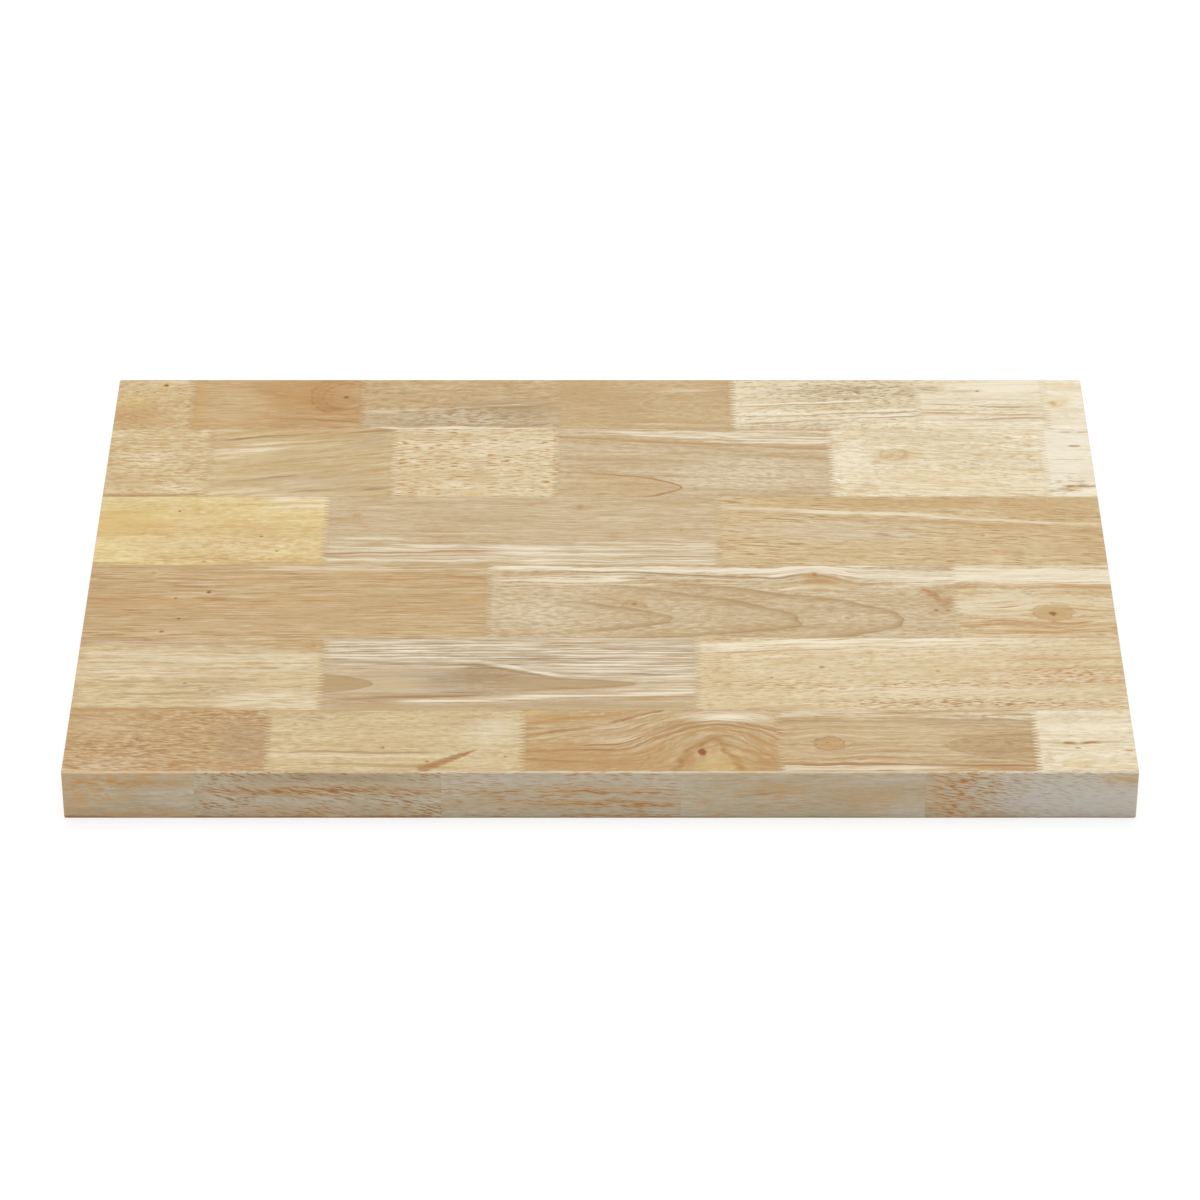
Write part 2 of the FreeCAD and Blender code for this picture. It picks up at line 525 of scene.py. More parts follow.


# The wood of each block, and the marks in it in the order in which they lie over one another. A
# mark has its tone and strength first and then its place, in plan millimetres: the x and y of its
# middle or tip, its length and its width, or a band's two ends, its y and its width. The last band
# of each front strip block is a line of painted shade along its bottom edge, by the floor.
WOODS = {
    "stave_1_block_1": Wood("straw", wisps=0.4, dashes=0.55, vessels=0.9, vessel_tone="orange",
                            vessel_length=8, vessel_width=1.5, curl=1.5, clouds=1.0, marks=(
        Patch("orange", 0.12, 36, 44, 170, 190),
        Flecks("orange", 0.8, 14, 68, 84, 60, broken=0.9),
        Patch("gold", 0.4, 10, 40, 60, 34),
        Patch("sapwood", 0.5, 50, 6, 70, 14, broken=0.8),
        Patch("gold", 0.8, 45, 10.5, 18, 10, broken=0.0),
        Knot("bark", 0.9, 45, 10.5, 6, 5, core=0.8),
    )),
    "stave_1_block_2": Wood("honey", vessel_tone="orange", vessel_length=14, clouds=0.8, marks=(
        Swell(205, 36, 120, 90, -8),
        Patch("gold", 0.35, 78, 44, 16, 110),
        Patch("orange", 0.25, 78, 44, 16, 110),
        Wisps("straw", 0.55, 110, 44, 76, 90, broken=0.7),
        Patch("orange", 0.7, 182, 28, 110, 76),
        Wisps("bark", 0.45, 198, 36, 34, 50, broken=0.8),
        Ring("bark", 0.75, 217, 30, 66, 66, line=2.6, broken=0.9, by="wisps"),
        Ring("rust", 0.7, 217, 30, 54, 58, line=1.6, broken=0.6, by="dashes"),
        Ring("bark", 0.7, 217, 31, 43, 46, line=2.4, broken=0.6, by="wisps"),
        Ring("rust", 0.5, 217, 31, 30, 30, line=1.2, broken=0.8, by="dashes"),
        Patch("smoke", 0.4, 222, 34, 28, 24, broken=0.3),
        Flecks("bark", 0.85, 204, 53, 38, 11, broken=0.5),
        Band("orange", 0.7, 130, 240, 68.5, 5, slope=0.05, ragged=0.5, broken=0.3),
        Band("bark", 1.0, 172, 240, 71, 3.4, slope=0.06, ragged=0.4, broken=0.3),
        Band("orange", 0.6, 170, 240, 57, 4, slope=0.06, ragged=0.5, broken=0.3),
        Band("bark", 0.8, 96, 114, 44, 2, ragged=0.3, broken=0.3),
        Patch("orange", 0.8, 220, 35, 15, 11, broken=0.3),
        Knot("bark", 0.9, 217, 32, 8, 7, core=0.7, broken=0.1),
    )),
    "stave_1_block_3": Wood("tan", slope=-0.05, streaks=0.5, wisps=0.6, dashes=0.45, vessels=0.3,
                            vessel_tone="brown", curl=1.8, marks=(
        Patch("smoke", 0.08, 330, 44, 260, 120),
        Flecks("sapwood", 0.8, 330, 70, 220, 44),
        Flecks("smoke", 0.9, 375, 60, 120, 54, gaps=0.42),
        Flecks("smoke", 0.9, 280, 72, 130, 36, gaps=0.44),
        Vessels("brown", 0.8, 340, 66, 190, 44, gaps=0.48),
        Band("sapwood", 0.35, 235, 400, 60, 3, slope=-0.1, broken=0.8, by="wisps"),
        Band("brown", 0.5, 260, 415, 58, 2.5, slope=-0.08, ragged=0.4, broken=0.6),
        Band("sapwood", 0.8, 235, 415, 86, 4, broken=0.6),
        Band("brown", 0.6, 235, 418, 82, 3),
    )),
    "stave_1_block_4": Wood("tan", streaks=0.3, wisps=0.4, dashes=0.15, vessels=0.3, vessel_tone="brown",
                            clouds=0.7, marks=(
        Patch("orange", 0.35, 435, 22, 80, 60),
        Tongue("smoke", 0.2, 496, 42, 10, 12, fill=0.0, rim=0.2, reach=90, heading=180,
               line_tone="sapwood"),
        Flecks("rust", 0.4, 502, 41, 14, 16, broken=0.8),
        Band("sapwood", 0.4, 508, 565, 20, 3, broken=0.6),
        Band("umber", 0.5, 500, 575, 30, 2, broken=0.7),
        Band("sapwood", 0.3, 480, 582, 78, 3, slope=0.05),
        Patch("orange", 0.3, 550, 80, 60, 14),
    )),
    "stave_1_block_5": Wood("pale", slope=-0.05, dashes=0.4, vessels=0.6, vessel_length=7, vessel_width=1.5,
                            marks=(
        Flecks("brown", 0.6, 690, 24, 190, 66, gaps=0.44),
        Vessels("brown", 0.7, 700, 26, 190, 60, gaps=0.5),
        Flecks("brown", 0.45, 640, 84, 130, 24),
        Band("sapwood", 0.9, 582, 715, 46, 3, slope=-0.06, ragged=0.6, broken=0.4),
        Band("umber", 0.7, 582, 715, 49, 1.6, slope=-0.06, ragged=0.4),
        Band("sapwood", 0.9, 585, 760, 63, 3.5, slope=-0.06, ragged=0.6, broken=0.4),
        Band("brown", 0.6, 585, 760, 67, 1.8, slope=-0.06, ragged=0.4),
        Band("sapwood", 0.9, 585, 760, 75, 3.5, slope=-0.07, ragged=0.6, broken=0.4),
        Band("brown", 0.8, 590, 765, 79, 2, slope=-0.085, ragged=0.4, broken=0.3),
    )),
    "stave_1_block_6": Wood("pale", streaks=0.5, wisps=0.6, dashes=0.35, vessel_length=12, marks=(
        Patch("sapwood", 0.85, 820, 44, 150, 110),
        Patch("sapwood", 0.9, 845, 10, 130, 34),
        Flecks("umber", 0.9, 770, 18, 32, 16, broken=0.8),
        Patch("umber", 0.5, 800, 21, 44, 7),
        Knot("orange", 0.6, 815, 21, 6, 5, core=0.4),
        Band("umber", 0.8, 757, 885, 44, 2, slope=0.05, broken=0.7, by="wisps"),
        Band("orange", 0.8, 757, 885, 60, 2.2, slope=0.04, broken=0.7),
        Band("orange", 0.6, 757, 885, 53, 2, slope=0.02, broken=0.8),
        Band("umber", 0.7, 790, 885, 73, 2.2, slope=-0.04, broken=0.7),
        Flecks("umber", 0.6, 820, 58, 130, 60, gaps=0.48),
    )),
    "stave_1_block_7": Wood("ivory", dashes=0.5, vessel_tone="gold", marks=(
        Patch("sapwood", 0.55, 896, 44, 120, 150),
        Flecks("gold", 0.8, 891, 42, 26, 28, broken=0.9),
        Flecks("orange", 0.8, 888, 42, 9, 12, broken=0.6),
        Flecks("umber", 0.4, 895, 64, 60, 30, gaps=0.45),
        Flecks("gold", 0.4, 900, 14, 50, 16),
    )),
    "stave_2_block_1": Wood("straw", dashes=0.6, vessels=0.6, vessel_tone="orange", vessel_length=11,
                            marks=(
        Flecks("sapwood", 0.4, 40, 140, 60, 30),
        Flecks("sapwood", 0.5, 70, 190, 60, 16),
        Flecks("orange", 0.3, 20, 180, 60, 40),
        Band("bark", 0.7, -20, 95, 201, 3, ragged=0.6, broken=0.7),
    )),
    "stave_2_block_2": Wood("straw", slope=-0.136, streaks=0.9, wisps=0.6, vessels=0.5, vessel_length=30,
                            fineness=0.8, marks=(
        Patch("toffee", 0.36, 185, 150, 190, 150),
        Patch("smoke", 0.16, 200, 150, 170, 110),
        Patch("orange", 0.4, 190, 98, 160, 22, broken=0.6),
        Band("brown", 0.8, 95, 275, 108, 4, slope=-0.1, broken=0.6),
        Patch("smoke", 0.4, 245, 110, 70, 36),
        Patch("umber", 0.35, 230, 178, 120, 50, broken=0.7),
        Band("sapwood", 0.65, 98, 168, 126, 7, slope=-0.14, broken=0.6, by="wisps"),
        Band("umber", 0.4, 95, 275, 158, 4, slope=-0.13, broken=0.7),
        Band("brown", 0.8, 95, 275, 181, 3, slope=-0.13, broken=0.6),
        Band("brown", 0.8, 170, 275, 198, 4, slope=-0.12, broken=0.6),
        Wisps("pearl", 0.2, 180, 185, 170, 40, broken=0.6),
    )),
    "stave_2_block_3": Wood("cream", streaks=0.3, wisps=0.4, dashes=0.45, vessels=1.0, vessel_tone="orange",
                            vessel_length=12, vessel_width=1.5, curl=0.9, clouds=0.8, marks=(
        Patch("sapwood", 0.4, 370, 120, 110, 26, broken=0.7),
        Flecks("toffee", 0.3, 290, 175, 60, 70, broken=0.6),
        Patch("umber", 0.5, 310, 136, 24, 8),
        Flecks("umber", 0.35, 345, 165, 20, 60),
        Band("bark", 0.8, 318, 336, 171, 2, slope=-0.1, ragged=0.3, broken=0.2),
        Flecks("gold", 0.6, 340, 200, 22, 20, broken=0.9),
        Flecks("umber", 0.4, 300, 100, 120, 16),
    )),
    "stave_2_block_4": Wood("beige", slope=0.03, streaks=0.6, wisps=0.6, dashes=0.25, vessels=0.3,
                            vessel_tone="brown", marks=(
        Band("sapwood", 0.8, 417, 690, 92, 12, slope=0.06, broken=0.6, by="wisps"),
        Band("orange", 0.8, 400, 690, 101, 4, slope=0.08, ragged=0.3, broken=0.3),
        Band("umber", 0.6, 540, 690, 131, 3, slope=0.06),
        Band("umber", 0.5, 400, 560, 138, 3, slope=0.04, broken=0.6),
        Flecks("sapwood", 0.4, 600, 165, 150, 60, broken=0.9),
        Patch("orange", 0.2, 455, 150, 90, 30),
        Tongue("toffee", 0.5, 532, 187, 6, 10, line=2.4, fill=0.9, rim=0.9, reach=160, line_tone="bark",
               broken=0.3),
    )),
    "stave_2_block_5": Wood("pale", slope=0.09, streaks=0.5, wisps=0.7, dashes=0.4, vessels=0.6,
                            vessel_tone="toffee", curl=1.3, marks=(
        Flecks("toffee", 0.8, 732, 136, 50, 24, broken=0.7),
        Ring("toffee", 0.6, 730, 133, 24, 17, line=3, broken=0.7, by="wisps"),
        Flecks("sapwood", 0.9, 688, 140, 36, 60, broken=0.7),
        Patch("sapwood", 0.7, 715, 120, 60, 10, broken=0.6),
        Flecks("umber", 0.4, 760, 100, 180, 24),
        Wisps("gold", 0.4, 790, 175, 180, 50, broken=0.9),
        Wisps("umber", 0.4, 820, 145, 110, 40, gaps=0.46),
        Wisps("sapwood", 0.6, 800, 182, 150, 50, gaps=0.46),
    )),
    "stave_2_block_6": Wood("ivory", dashes=0.3, vessel_tone="gold", marks=(
        Patch("white", 0.85, 892, 140, 90, 190),
        Band("bark", 0.9, 893, 903, 117, 3, ragged=0.0, broken=0.0),
        Patch("gold", 0.8, 893, 190, 30, 7, broken=0.3),
        Band("bark", 1.0, 882, 908, 191, 4, slope=-0.2, broken=0.6, by="dashes"),
        Band("umber", 0.9, 870, 925, 196, 3, slope=-0.2, broken=0.7, by="dashes"),
        Vessels("umber", 0.6, 890, 178, 50, 30, gaps=0.48),
        Band("umber", 0.5, 870, 914, 141, 2, broken=0.6),
        Band("brown", 0.5, 884, 925, 93, 2, broken=0.8, by="dashes"),
        Flecks("brown", 0.5, 886, 194, 36, 20, gaps=0.49),
    )),
    "stave_3_block_1": Wood("yellow", streaks=0.35, wisps=0.35, dashes=0.35, vessels=0.5,
                            vessel_tone="gold", clouds=1.1, marks=(
        Patch("gold", 0.6, 20, 245, 110, 60, broken=0.3),
        Patch("orange", 0.08, 120, 260, 260, 150),
        Flecks("sapwood", 0.2, 120, 285, 200, 50, broken=0.8),
        Flecks("orange", 0.5, 25, 230, 40, 8, broken=0.9),
        Band("sapwood", 0.85, 145, 225, 209, 8, broken=0.6, by="wisps"),
        Band("sapwood", 0.5, 145, 225, 221, 4, broken=0.8),
        Band("umber", 0.7, -20, 220, 316, 4, broken=0.7),
        Vessels("orange", 0.6, 110, 308, 220, 18, gaps=0.46),
        Vessels("orange", 0.4, 150, 280, 120, 40, gaps=0.5),
        Knot("brown", 0.6, 73, 229, 4, 3.5, core=0.6),
        Knot("bark", 0.6, 150, 271, 6, 5, core=0.4),
        Knot("bark", 0.6, 120, 285, 4, 3),
        Knot("smoke", 0.6, 165, 295, 4, 3, core=0.5),
        Knot("smoke", 0.6, 100, 312, 3.5, 3, core=0.5),
    )),
    "stave_3_block_2": Wood("beige", slope=0.02, streaks=0.5, wisps=0.6, vessel_length=20, marks=(
        Band("sapwood", 0.5, 200, 575, 288, 12, broken=1.0, by="wisps"),
        Stripes("sapwood", 0.7, 200, 420, 300, 26, slope=0.01, ragged=0.2, pitch=6.0),
        Stripes("sapwood", 0.75, 380, 575, 303, 26, slope=0.01, ragged=0.2, broken=0.6),
        Band("bark", 0.8, 190, 370, 299, 2.5, slope=-0.02, ragged=0.3, broken=0.3),
        Band("brown", 0.6, 190, 350, 304, 2, slope=-0.01, ragged=0.3, broken=0.4),
        Band("brown", 0.6, 480, 575, 302, 2.5, slope=0.03, ragged=0.5, broken=0.6),
        Wisps("umber", 0.25, 360, 240, 180, 50, broken=0.9),
        Patch("toffee", 0.5, 235, 238, 24, 16),
        Knot("rust", 0.8, 235, 237, 8, 7, broken=0.8, by="dashes"),
        Patch("toffee", 0.4, 439, 223, 24, 14),
        Knot("rust", 0.8, 439, 222, 8, 8, broken=0.7, by="dashes"),
        Patch("toffee", 0.5, 529, 262, 20, 16),
        Knot("rust", 0.9, 531, 261, 4, 3),
    )),
    "stave_3_block_3": Wood("straw", slope=0.07, wisps=0.6, dashes=0.3, vessels=0.75, vessel_tone="bark",
                            vessel_length=20, vessel_width=1.4, marks=(
        Patch("orange", 0.12, 738, 262, 460, 170),
        Wisps("orange", 0.4, 740, 213, 380, 24, broken=0.6),
        Wisps("orange", 0.4, 870, 230, 120, 50, broken=0.7),
        Wisps("orange", 0.35, 905, 290, 60, 80, broken=0.7),
        Wisps("pearl", 0.35, 680, 262, 200, 50, broken=0.7),
        Band("sapwood", 0.75, 562, 790, 223, 4, slope=0.075, ragged=0.4, broken=0.4),
        Band("sapwood", 0.55, 740, 925, 238, 3, slope=0.08, ragged=0.4, broken=0.6),
        Band("orange", 0.5, 760, 925, 246, 4, slope=0.09, broken=0.6),
        Band("umber", 0.4, 600, 914, 234, 4, slope=0.1, broken=0.7),
        Knot("rust", 0.6, 805, 269, 6, 5),
        Knot("rust", 0.6, 840, 274, 4, 4),
    )),
    "stave_4_block_1": Wood("tan", streaks=0.35, wisps=0.3, vessels=0.7, vessel_tone="bark",
                            vessel_length=34, vessel_width=1.5, curl=0.45, clouds=0.4, marks=(
        Wisps("amber", 0.15, 180, 375, 460, 150),
        Patch("orange", 0.25, 30, 390, 130, 120),
        Band("sapwood", 0.4, 100, 370, 324, 4, broken=0.9, by="wisps"),
        Band("orange", 0.7, 40, 370, 340, 2.5, ragged=0.5, broken=0.6),
        Band("orange", 0.4, -20, 370, 376, 10, broken=0.9, by="wisps"),
        Knot("bark", 0.9, 108, 361, 6, 5.5, core=0.5),
        Knot("orange", 0.6, 56, 331, 8, 7),
        Knot("bark", 0.6, 79, 371, 3, 3, core=0.7),
        Knot("bark", 0.6, 84, 403, 3.5, 3.5, core=0.7),
        Knot("rust", 0.8, 70, 423, 6, 5, core=0.3),
    )),
    "stave_4_block_2": Wood("beige", streaks=0.35, dashes=0.5, vessels=0.5, curl=1.1, clouds=0.8, marks=(
        Swell(651, 336, 90, 70, 9),
        Flecks("sapwood", 0.3, 400, 390, 110, 60, broken=0.8),
        Tongue("umber", 0.85, 520.5, 405, 10, 5, fill=0.15, reach=130, broken=0.3),
        Tongue("umber", 0.6, 486, 373, 9, 15, line=2.2, fill=0.5, rim=0.55, reach=17, heading=90,
               broken=0.3),
        Tongue("umber", 0.85, 639, 413, 24, 3, fill=0.15, reach=260, broken=0.3),
        Tongue("umber", 0.85, 729, 405, 17, 13, fill=0.15, reach=320, broken=0.3),
        Stripes("sapwood", 0.7, 357, 470, 334, 24, slope=0.03, ragged=0.3, broken=0.7),
        Band("sapwood", 0.9, 357, 480, 322, 8, slope=0.02, broken=0.6, by="wisps"),
        Band("sapwood", 0.9, 452, 800, 327, 20, slope=0.02, by="wisps"),
        Wisps("sapwood", 0.6, 740, 336, 110, 22, broken=0.5),
        Band("brown", 0.8, 430, 655, 327, 3, slope=0.065, ragged=0.2, broken=0.1),
        Band("sapwood", 0.8, 490, 590, 337, 3, slope=0.045, ragged=0.3, broken=0.3),
        Band("umber", 0.7, 640, 720, 342, 3, slope=0.1, ragged=0.3, broken=0.2),
        Flecks("toffee", 0.6, 487, 378, 24, 18, broken=0.7),
        Knot("rust", 1.0, 487.5, 380, 6, 4.5, broken=0.0),
        Flecks("straw", 0.9, 654, 352, 84, 12, broken=0.2),
        Flecks("orange", 0.7, 652, 341, 44, 20, broken=0.6),
        Knot("rust", 1.0, 649.5, 333, 5, 6, broken=0.0),
        Knot("orange", 0.8, 676, 402, 6, 5, broken=0.2),
        Patch("orange", 0.5, 762, 376, 30, 60),
        Flecks("rust", 0.6, 752, 363, 16, 18, broken=0.8),
        Scar("rust", 0.7, 751, 361, 20, 7, 44, by="dashes"),
        Ring("rust", 0.6, 748, 360, 8, 5, line=1.4, broken=0.4, by="dashes"),
        Scar("bark", 0.6, 758, 371, 24, 10, 60, broken=0.8, by="dashes"),
        Flecks("bark", 0.6, 766, 380, 11, 22, broken=0.7),
        Knot("bark", 1.0, 756, 390, 5, 4, broken=0.0),
        Knot("bark", 0.8, 766, 390, 4, 3, broken=0.0),
    )),
    "stave_4_block_3": Wood("cream", streaks=0.5, wisps=0.7, dashes=0.15, vessel_tone="brown", marks=(
        Band("sapwood", 0.9, 755, 935, 334, 24, ragged=0.4, broken=0.4, by="wisps"),
        Flecks("bark", 0.8, 785, 349, 30, 12, broken=0.8),
        Band("orange", 0.8, 755, 935, 353, 6, ragged=0.6, broken=0.4),
        Band("orange", 0.5, 770, 935, 363, 5, broken=0.7),
        Wisps("sapwood", 0.5, 815, 385, 100, 50, broken=0.8),
        Band("orange", 0.85, 765, 935, 413, 22, broken=1.0, by="wisps"),
        Knot("toffee", 0.95, 859, 394, 38, 26, rim=0.8, core=0.24, rim_tone="orange", bow=0.6, broken=0.3,
             by="dashes"),
    )),
    "stave_5_block_1": Wood("straw", wisps=0.6, dashes=0.35, vessels=0.6, vessel_length=16, marks=(
        Band("bark", 0.6, -20, 235, 436, 14, slope=0.04, broken=0.9),
        Wisps("orange", 0.4, 195, 444, 70, 26, broken=0.8),
        Band("sapwood", 0.3, 0, 215, 462, 24, slope=0.03, broken=0.6),
        Patch("pearl", 0.1, 108, 492, 240, 130),
        Wisps("sapwood", 0.6, 170, 528, 130, 30, broken=0.9),
        Flecks("brown", 0.6, 115, 510, 80, 44, gaps=0.46),
        Band("umber", 0.6, 20, 150, 500, 2.4, broken=0.6),
        Band("umber", 0.7, 20, 120, 518, 2.4),
        Band("rust", 0.7, -20, 150, 541, 3, ragged=0.5),
        Knot("rust", 0.8, 205, 446, 6, 5),
        Knot("rust", 0.9, 96, 502, 4.5, 4),
    )),
    "stave_5_block_2": Wood("beige", streaks=1.0, wisps=0.6, dashes=0.1, vessels=0.3, vessel_tone="brown",
                            fineness=1.6, curl=0.3, marks=(
        Patch("pearl", 0.22, 380, 480, 420, 130),
        Stripes("white", 1.0, 205, 552, 449, 46, slope=0.03, ragged=0.1, pitch=5.0, broken=0.3),
        Stripes("white", 0.95, 425, 552, 478, 34, slope=0.02, ragged=0.1, broken=0.4),
        Band("brown", 0.85, 205, 552, 450, 42, slope=0.03, broken=1.0, by="wisps", gaps=0.45),
        Flecks("ash", 0.4, 345, 458, 230, 50, gaps=0.52),
        Stripes("sapwood", 0.8, 470, 552, 514, 26, ragged=0.2, broken=0.6),
        Wisps("smoke", 0.75, 330, 498, 170, 46, broken=0.6),
        Wisps("brown", 0.55, 365, 489, 80, 34, broken=0.6),
        Wisps("bark", 0.6, 250, 527, 100, 30, gaps=0.44),
        Patch("smoke", 0.6, 430, 531, 150, 22, broken=1.0, gaps=0.44),
        Band("brown", 0.6, 215, 372, 468, 3.5, slope=0.05, ragged=0.4, broken=0.6),
        Band("brown", 0.7, 352, 420, 475, 4, slope=0.3, ragged=0.3, broken=0.4),
        Band("white", 0.8, 358, 430, 472, 4, slope=0.3, ragged=0.3),
        Band("umber", 0.6, 398, 489, 494, 2.4, ragged=0.3, broken=0.4),
        Band("brown", 0.9, 225, 370, 527, 5, slope=-0.065, ragged=0.6, broken=0.4),
        Band("umber", 0.6, 345, 489, 519, 3, slope=-0.09, ragged=0.2, broken=0.3),
        Wisps("sapwood", 0.3, 360, 510, 60, 20),
        Wisps("straw", 0.75, 282, 503, 60, 24, broken=0.5),
        Flecks("brown", 0.7, 358, 500, 76, 50, gaps=0.46),
        Tongue("umber", 0.8, 260, 503, 5, 5, fill=1.0, rim=0.35, reach=140, broken=0.2, by="wisps"),
        Tongue("umber", 0.8, 489, 503, 0.9, 1.1, fill=1.0, rim=0.6, reach=200, broken=0.4, by="wisps"),
        Band("sapwood", 0.95, 280, 405, 531, 4, slope=-0.05, ragged=0.4, broken=0.4),
        Band("sapwood", 0.85, 380, 552, 524, 4.5, slope=-0.04, ragged=0.5),
        Band("umber", 0.5, 215, 552, 538, 8, broken=0.7),
    )),
    "stave_5_block_3": Wood("cream", slope=-0.05, streaks=0.35, wisps=0.4, dashes=0.3, vessels=0.5,
                            vessel_tone="orange", vessel_width=1.5, marks=(
        Wisps("sapwood", 0.5, 760, 515, 300, 14, broken=0.8),
        Band("sapwood", 0.95, 545, 830, 449, 10, slope=-0.06, broken=0.6, by="wisps"),
        Wisps("sapwood", 0.4, 720, 446, 300, 30),
        Band("orange", 0.7, 556, 720, 456, 2, slope=-0.06, ragged=0.3, broken=0.6),
        Flecks("orange", 0.9, 562, 437, 40, 14, broken=0.9, gaps=0.44),
        Band("rust", 0.8, 690, 935, 506, 5, slope=-0.035, broken=1.0, by="vessels", gaps=0.46),
        Band("sapwood", 0.7, 740, 935, 500, 5, slope=-0.035, broken=1.0, by="dashes", gaps=0.46),
        Band("orange", 0.5, 810, 935, 465, 3, slope=-0.02, broken=0.7),
        Band("orange", 0.45, 770, 935, 482, 3, slope=-0.02, broken=0.8),
        Vessels("rust", 0.9, 870, 488, 140, 26, gaps=0.48),
        Vessels("bark", 1.0, 780, 532, 330, 18, gaps=0.46),
        Wisps("orange", 0.25, 840, 498, 180, 50),
        Vessels("orange", 0.8, 620, 506, 150, 18, gaps=0.46),
        Flecks("orange", 0.7, 600, 541, 110, 10, broken=0.8, gaps=0.45),
        Patch("toffee", 0.3, 560, 490, 40, 70),
        Knot("rust", 0.8, 651, 478, 6, 5),
        Knot("orange", 0.5, 694, 455, 8, 7),
        Knot("orange", 0.7, 752, 484, 5, 4),
        Knot("bark", 0.9, 607, 494, 3.5, 3, core=0.4),
    )),
    "stave_6_block_1": Wood("honey", slope=0.07, streaks=0.3, wisps=0.4, dashes=0.5, vessels=0.8,
                            vessel_tone="bark", vessel_width=1.5, clouds=0.7, marks=(
        Patch("smoke", 0.14, 86, 590, 300, 160),
        Patch("smoke", 0.4, 155, 590, 60, 100),
        Patch("straw", 0.4, 30, 560, 110, 60),
        Flecks("sapwood", 0.2, 40, 620, 90, 30, broken=0.8),
        Flecks("bark", 0.5, 75, 552, 14, 10, broken=0.8),
        Knot("bark", 0.6, 61, 585, 5, 7),
    )),
    "stave_6_block_2": Wood("straw", dashes=0.3, vessels=0.5, marks=(
        Patch("pearl", 0.06, 282, 588, 320, 140),
        Patch("smoke", 0.06, 282, 588, 320, 140),
        Flecks("brown", 0.6, 215, 552, 90, 24, gaps=0.47),
        Flecks("brown", 0.5, 350, 560, 70, 40, gaps=0.48),
        Patch("gold", 0.2, 260, 590, 120, 30),
        Patch("gold", 0.3, 320, 622, 60, 20),
        Band("umber", 0.9, 160, 320, 604, 2.4, slope=0.01, ragged=0.4),
        Band("sapwood", 0.4, 170, 330, 609, 4, slope=0.01, ragged=0.4, broken=0.7),
        Band("umber", 0.7, 200, 340, 620, 3, slope=0.06),
        Patch("sapwood", 0.4, 365, 575, 60, 50, broken=0.6),
        Scar("bark", 0.95, 329, 615, 64, 13, -31, broken=0.35, by="wisps"),
        Scar("core", 0.3, 322, 619, 50, 5, -31, broken=0.6, by="wisps"),
        Knot("rust", 0.9, 272, 598, 4.5, 4, core=0.4),
        Knot("rust", 0.9, 376.5, 611, 4.5, 4, core=0.4),
        Knot("rust", 0.9, 310, 618, 4.5, 3.5, core=0.3),
    )),
    "stave_6_block_3": Wood("tan", slope=-0.08, streaks=0.8, wisps=0.9, dashes=0.3, vessels=0.5,
                            vessel_tone="orange", marks=(
        Swell(556, 572, 190, 140, 36),
        Patch("gold", 0.9, 398, 547, 26, 6, broken=0.2),
        Patch("umber", 0.24, 500, 590, 320, 150),
        Wisps("orange", 0.65, 420, 612, 130, 60, broken=0.6),
        Patch("orange", 0.6, 420, 556, 90, 20, broken=0.8),
        Patch("orange", 0.55, 480, 626, 110, 30, broken=0.4),
        Wisps("sapwood", 0.9, 570, 553, 90, 22, broken=0.6),
        Wisps("sapwood", 0.35, 478, 590, 80, 22),
        Wisps("orange", 0.5, 508, 606, 44, 40),
        Flecks("orange", 0.7, 596, 612, 46, 60, broken=0.9),
        Patch("amber", 0.3, 560, 626, 40, 22),
        Band("bark", 0.9, 380, 540, 584, 4, slope=-0.24, ragged=0.5, broken=0.6, by="dashes"),
        Band("sapwood", 0.35, 380, 540, 590, 3, slope=-0.24, ragged=0.4, broken=0.9),
        Wisps("sapwood", 0.35, 470, 566, 80, 12, broken=0.9),
        Band("orange", 0.8, 380, 520, 566, 3, slope=-0.18, ragged=0.4, broken=0.4),
        Band("bark", 0.8, 380, 470, 604, 3, slope=-0.05, ragged=0.4, broken=0.4),
        Band("bark", 0.6, 380, 480, 613, 3, slope=0.1, ragged=0.4),
        Band("bark", 0.9, 430, 630, 594, 3, slope=-0.02, ragged=0.5, broken=0.4),
        Band("bark", 0.8, 440, 630, 601, 3, slope=-0.02, ragged=0.5),
        Band("orange", 0.8, 440, 620, 609, 3, slope=-0.02, ragged=0.4),
        Tongue("umber", 0.0, 552, 572, 70, 60, line=1.8, fill=0.0, rim=0.45, reach=110, heading=90,
               line_tone="bark", broken=0.6),
        Tongue("toffee", 0.6, 553, 582, 22, 12, line=7, fill=0.5, rim=0.95, reach=130, heading=90,
               line_tone="bark", broken=0.6, by="dashes"),
        Patch("gold", 0.3, 562, 620, 50, 50, broken=0.3),
        Flecks("rust", 0.7, 533, 610, 16, 44, broken=0.6),
        Knot("core", 1.0, 544.5, 604.5, 7, 10, core=1.0, bow=0.0, broken=0.0),
    )),
    "stave_6_block_4": Wood("tan", streaks=0.75, wisps=0.95, dashes=0.3, vessels=0.3, vessel_tone="brown",
                            fineness=1.2, marks=(
        Patch("pearl", 0.1, 720, 588, 320, 140),
        Band("sapwood", 0.5, 595, 850, 549, 12, broken=1.0, by="wisps"),
        Flecks("brown", 0.6, 780, 552, 110, 20, gaps=0.47),
        Band("brown", 0.5, 595, 850, 560, 4, broken=0.7),
        Tongue("umber", 0.6, 750, 594.5, 8, 4, fill=1.0, reach=200, heading=180, broken=0.6, by="dashes"),
        Wisps("straw", 0.25, 700, 575, 190, 50, broken=0.6),
        Band("bark", 0.9, 590, 850, 621, 3.5, slope=0.015, ragged=0.4, broken=0.2),
        Band("sapwood", 0.6, 605, 760, 628, 5, broken=0.7),
        Flecks("brown", 0.6, 795, 592, 84, 44, gaps=0.47),
        Knot("orange", 0.6, 653, 592, 27, 20, rim=0.8, core=0.12, bow=0.6, broken=0.4, by="dashes"),
    )),
    "stave_6_block_5": Wood("pale", dashes=0.4, marks=(
